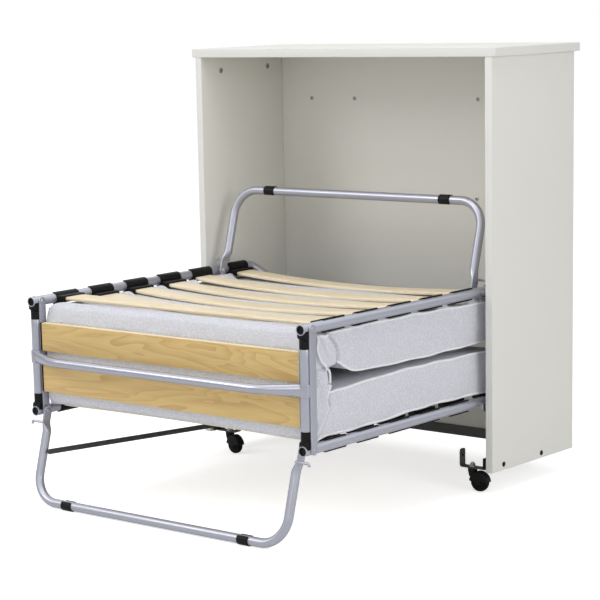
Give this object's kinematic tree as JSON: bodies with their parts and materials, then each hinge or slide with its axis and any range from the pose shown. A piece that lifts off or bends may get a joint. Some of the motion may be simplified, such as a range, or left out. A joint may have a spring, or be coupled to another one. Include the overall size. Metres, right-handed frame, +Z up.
{
  "type": "folding guest bed in a castor cabinet",
  "caption": "Sprung-slat guest bed with a tube frame that unfolds lengthwise, stands on folding legs and swings up into its own white cabinet on castors.",
  "frame": {"origin": "middle of the part's box, on the floor", "axes": "+X across the bed, +Y from the foot of the bed into the cabinet, +Z up"},
  "size_m": [0.88, 1.0192, 0.9983],
  "materials": {
    "laminate": "white melamine-faced board, satin",
    "dark_steel": "dark grey lacquer, satin",
    "silver_steel": "silver-grey powder coat",
    "black_plastic": "black moulded plastic, fine grain",
    "birch": "clear-lacquered birch veneer",
    "maple": "maple-grain veneer, satin",
    "zinc": "bright zinc plating",
    "knit": "light grey mottled stretch knit with white edge tape"
  },
  "bodies": {
    "cabinet": {"cabinet_side_left": "laminate", "cabinet_side_right": "laminate", "cabinet_top": "laminate", "cabinet_back": "laminate", "base_cross_rail": "dark_steel", "base_frame_left": "dark_steel", "base_frame_right": "dark_steel"},
    "castor_front_left": {"castor_fork_front_left": "black_plastic"},
    "wheel_front_left": {"castor_wheel_front_left": "black_plastic"},
    "castor_front_right": {"castor_fork_front_right": "black_plastic"},
    "wheel_front_right": {"castor_wheel_front_right": "black_plastic"},
    "castor_rear_left": {"castor_fork_rear_left": "black_plastic"},
    "wheel_rear_left": {"castor_wheel_rear_left": "black_plastic"},
    "castor_rear_right": {"castor_fork_rear_right": "black_plastic"},
    "wheel_rear_right": {"castor_wheel_rear_right": "black_plastic"},
    "lower_section": {"lower_frame": "silver_steel", "lower_slat_1": "birch", "lower_slat_2": "birch", "lower_slat_3": "birch", "lower_slat_4": "birch", "lower_slat_5": "birch", "lower_slat_6": "birch", "lower_rail_plug_left": "black_plastic", "lower_rail_plug_right": "black_plastic", "hinge_bolt_lower_left": "zinc", "hinge_bolt_lower_right": "zinc", "mattress_lower": "knit"},
    "middle_section": {"middle_post_left": "silver_steel", "middle_post_right": "silver_steel", "post_plug_lower_left": "black_plastic", "post_plug_lower_right": "black_plastic", "post_plug_upper_left": "black_plastic", "post_plug_upper_right": "black_plastic", "plank_upper": "maple", "plank_lower": "maple", "cross_bow": "silver_steel", "mattress_middle": "knit"},
    "upper_section": {"upper_frame": "silver_steel", "upper_slat_1": "birch", "upper_slat_2": "birch", "upper_slat_3": "birch", "upper_slat_4": "birch", "upper_slat_5": "birch", "upper_slat_6": "birch", "upper_rail_plug_left": "black_plastic", "upper_rail_plug_right": "black_plastic", "hinge_bolt_upper_left": "zinc", "hinge_bolt_upper_right": "zinc", "upper_leg_bolt_left": "zinc", "upper_leg_bolt_right": "zinc", "mattress_upper": "knit"},
    "front_leg": {"front_leg": "silver_steel", "front_leg_foot_left": "black_plastic", "front_leg_foot_right": "black_plastic", "link_bolt": "dark_steel"},
    "upper_leg": {"upper_leg": "silver_steel", "upper_leg_foot_left": "black_plastic", "upper_leg_foot_right": "black_plastic"},
    "link": {"link_bar": "dark_steel"}
  },
  "joints": [
    {"name": "bed_swing", "type": "hinge", "parent": "cabinet", "child": "lower_section", "pos_m": [0, 0.1771, 0.1985], "axis": [1, 0, 0], "range_deg": [-90, 0]},
    {"name": "middle_fold", "type": "hinge", "parent": "lower_section", "child": "middle_section", "pos_m": [0, -0.4414, 0.208], "axis": [1, 0, 0], "range_deg": [0, 90]},
    {"name": "upper_fold", "type": "hinge", "parent": "middle_section", "child": "upper_section", "pos_m": [0, -0.4414, 0.458], "axis": [1, 0, 0], "range_deg": [0, 90]},
    {"name": "front_leg_fold", "type": "hinge", "parent": "lower_section", "child": "front_leg", "pos_m": [0, -0.4414, 0.208], "axis": [1, 0, 0], "range_deg": [0, 96.5]},
    {"name": "upper_leg_fold", "type": "hinge", "parent": "upper_section", "child": "upper_leg", "pos_m": [0, 0.1776, 0.458], "axis": [1, 0, 0], "range_deg": [0, 99.8]},
    {"name": "link_swing", "type": "hinge", "parent": "cabinet", "child": "link", "pos_m": [-0.346, 0.1814, 0.079], "axis": [1, 0, 0], "range_deg": [-85.75, 0]},
    {"name": "swivel_front_left", "type": "hinge", "parent": "cabinet", "child": "castor_front_left", "pos_m": [-0.364, 0.1814, 0.05], "axis": [0, 0, 1], "continuous": true},
    {"name": "roll_front_left", "type": "hinge", "parent": "castor_front_left", "child": "wheel_front_left", "pos_m": [-0.3443, 0.17793, 0.0225], "axis": [0.1736, 0.9848, 0], "continuous": true},
    {"name": "swivel_front_right", "type": "hinge", "parent": "cabinet", "child": "castor_front_right", "pos_m": [0.364, 0.1814, 0.05], "axis": [0, 0, 1], "continuous": true},
    {"name": "roll_front_right", "type": "hinge", "parent": "castor_front_right", "child": "wheel_front_right", "pos_m": [0.384, 0.1814, 0.0225], "axis": [0, 1, 0], "continuous": true},
    {"name": "swivel_rear_left", "type": "hinge", "parent": "cabinet", "child": "castor_rear_left", "pos_m": [-0.27, 0.4586, 0.05], "axis": [0, 0, 1], "continuous": true},
    {"name": "roll_rear_left", "type": "hinge", "parent": "castor_rear_left", "child": "wheel_rear_left", "pos_m": [-0.27347, 0.4783, 0.0225], "axis": [-0.9848, -0.1736, 0], "continuous": true},
    {"name": "swivel_rear_right", "type": "hinge", "parent": "cabinet", "child": "castor_rear_right", "pos_m": [0.27, 0.4586, 0.05], "axis": [0, 0, 1], "continuous": true},
    {"name": "roll_rear_right", "type": "hinge", "parent": "castor_rear_right", "child": "wheel_rear_right", "pos_m": [0.28, 0.47592, 0.0225], "axis": [-0.866, 0.5, 0], "continuous": true}
  ],
  "couplings": [
    {"joint": "front_leg_fold", "follows": "bed_swing", "ratio": -1.0722},
    {"joint": "upper_leg_fold", "follows": "bed_swing", "ratio": -1.1089},
    {"joint": "link_swing", "follows": "bed_swing", "ratio": 0.9527}
  ]
}
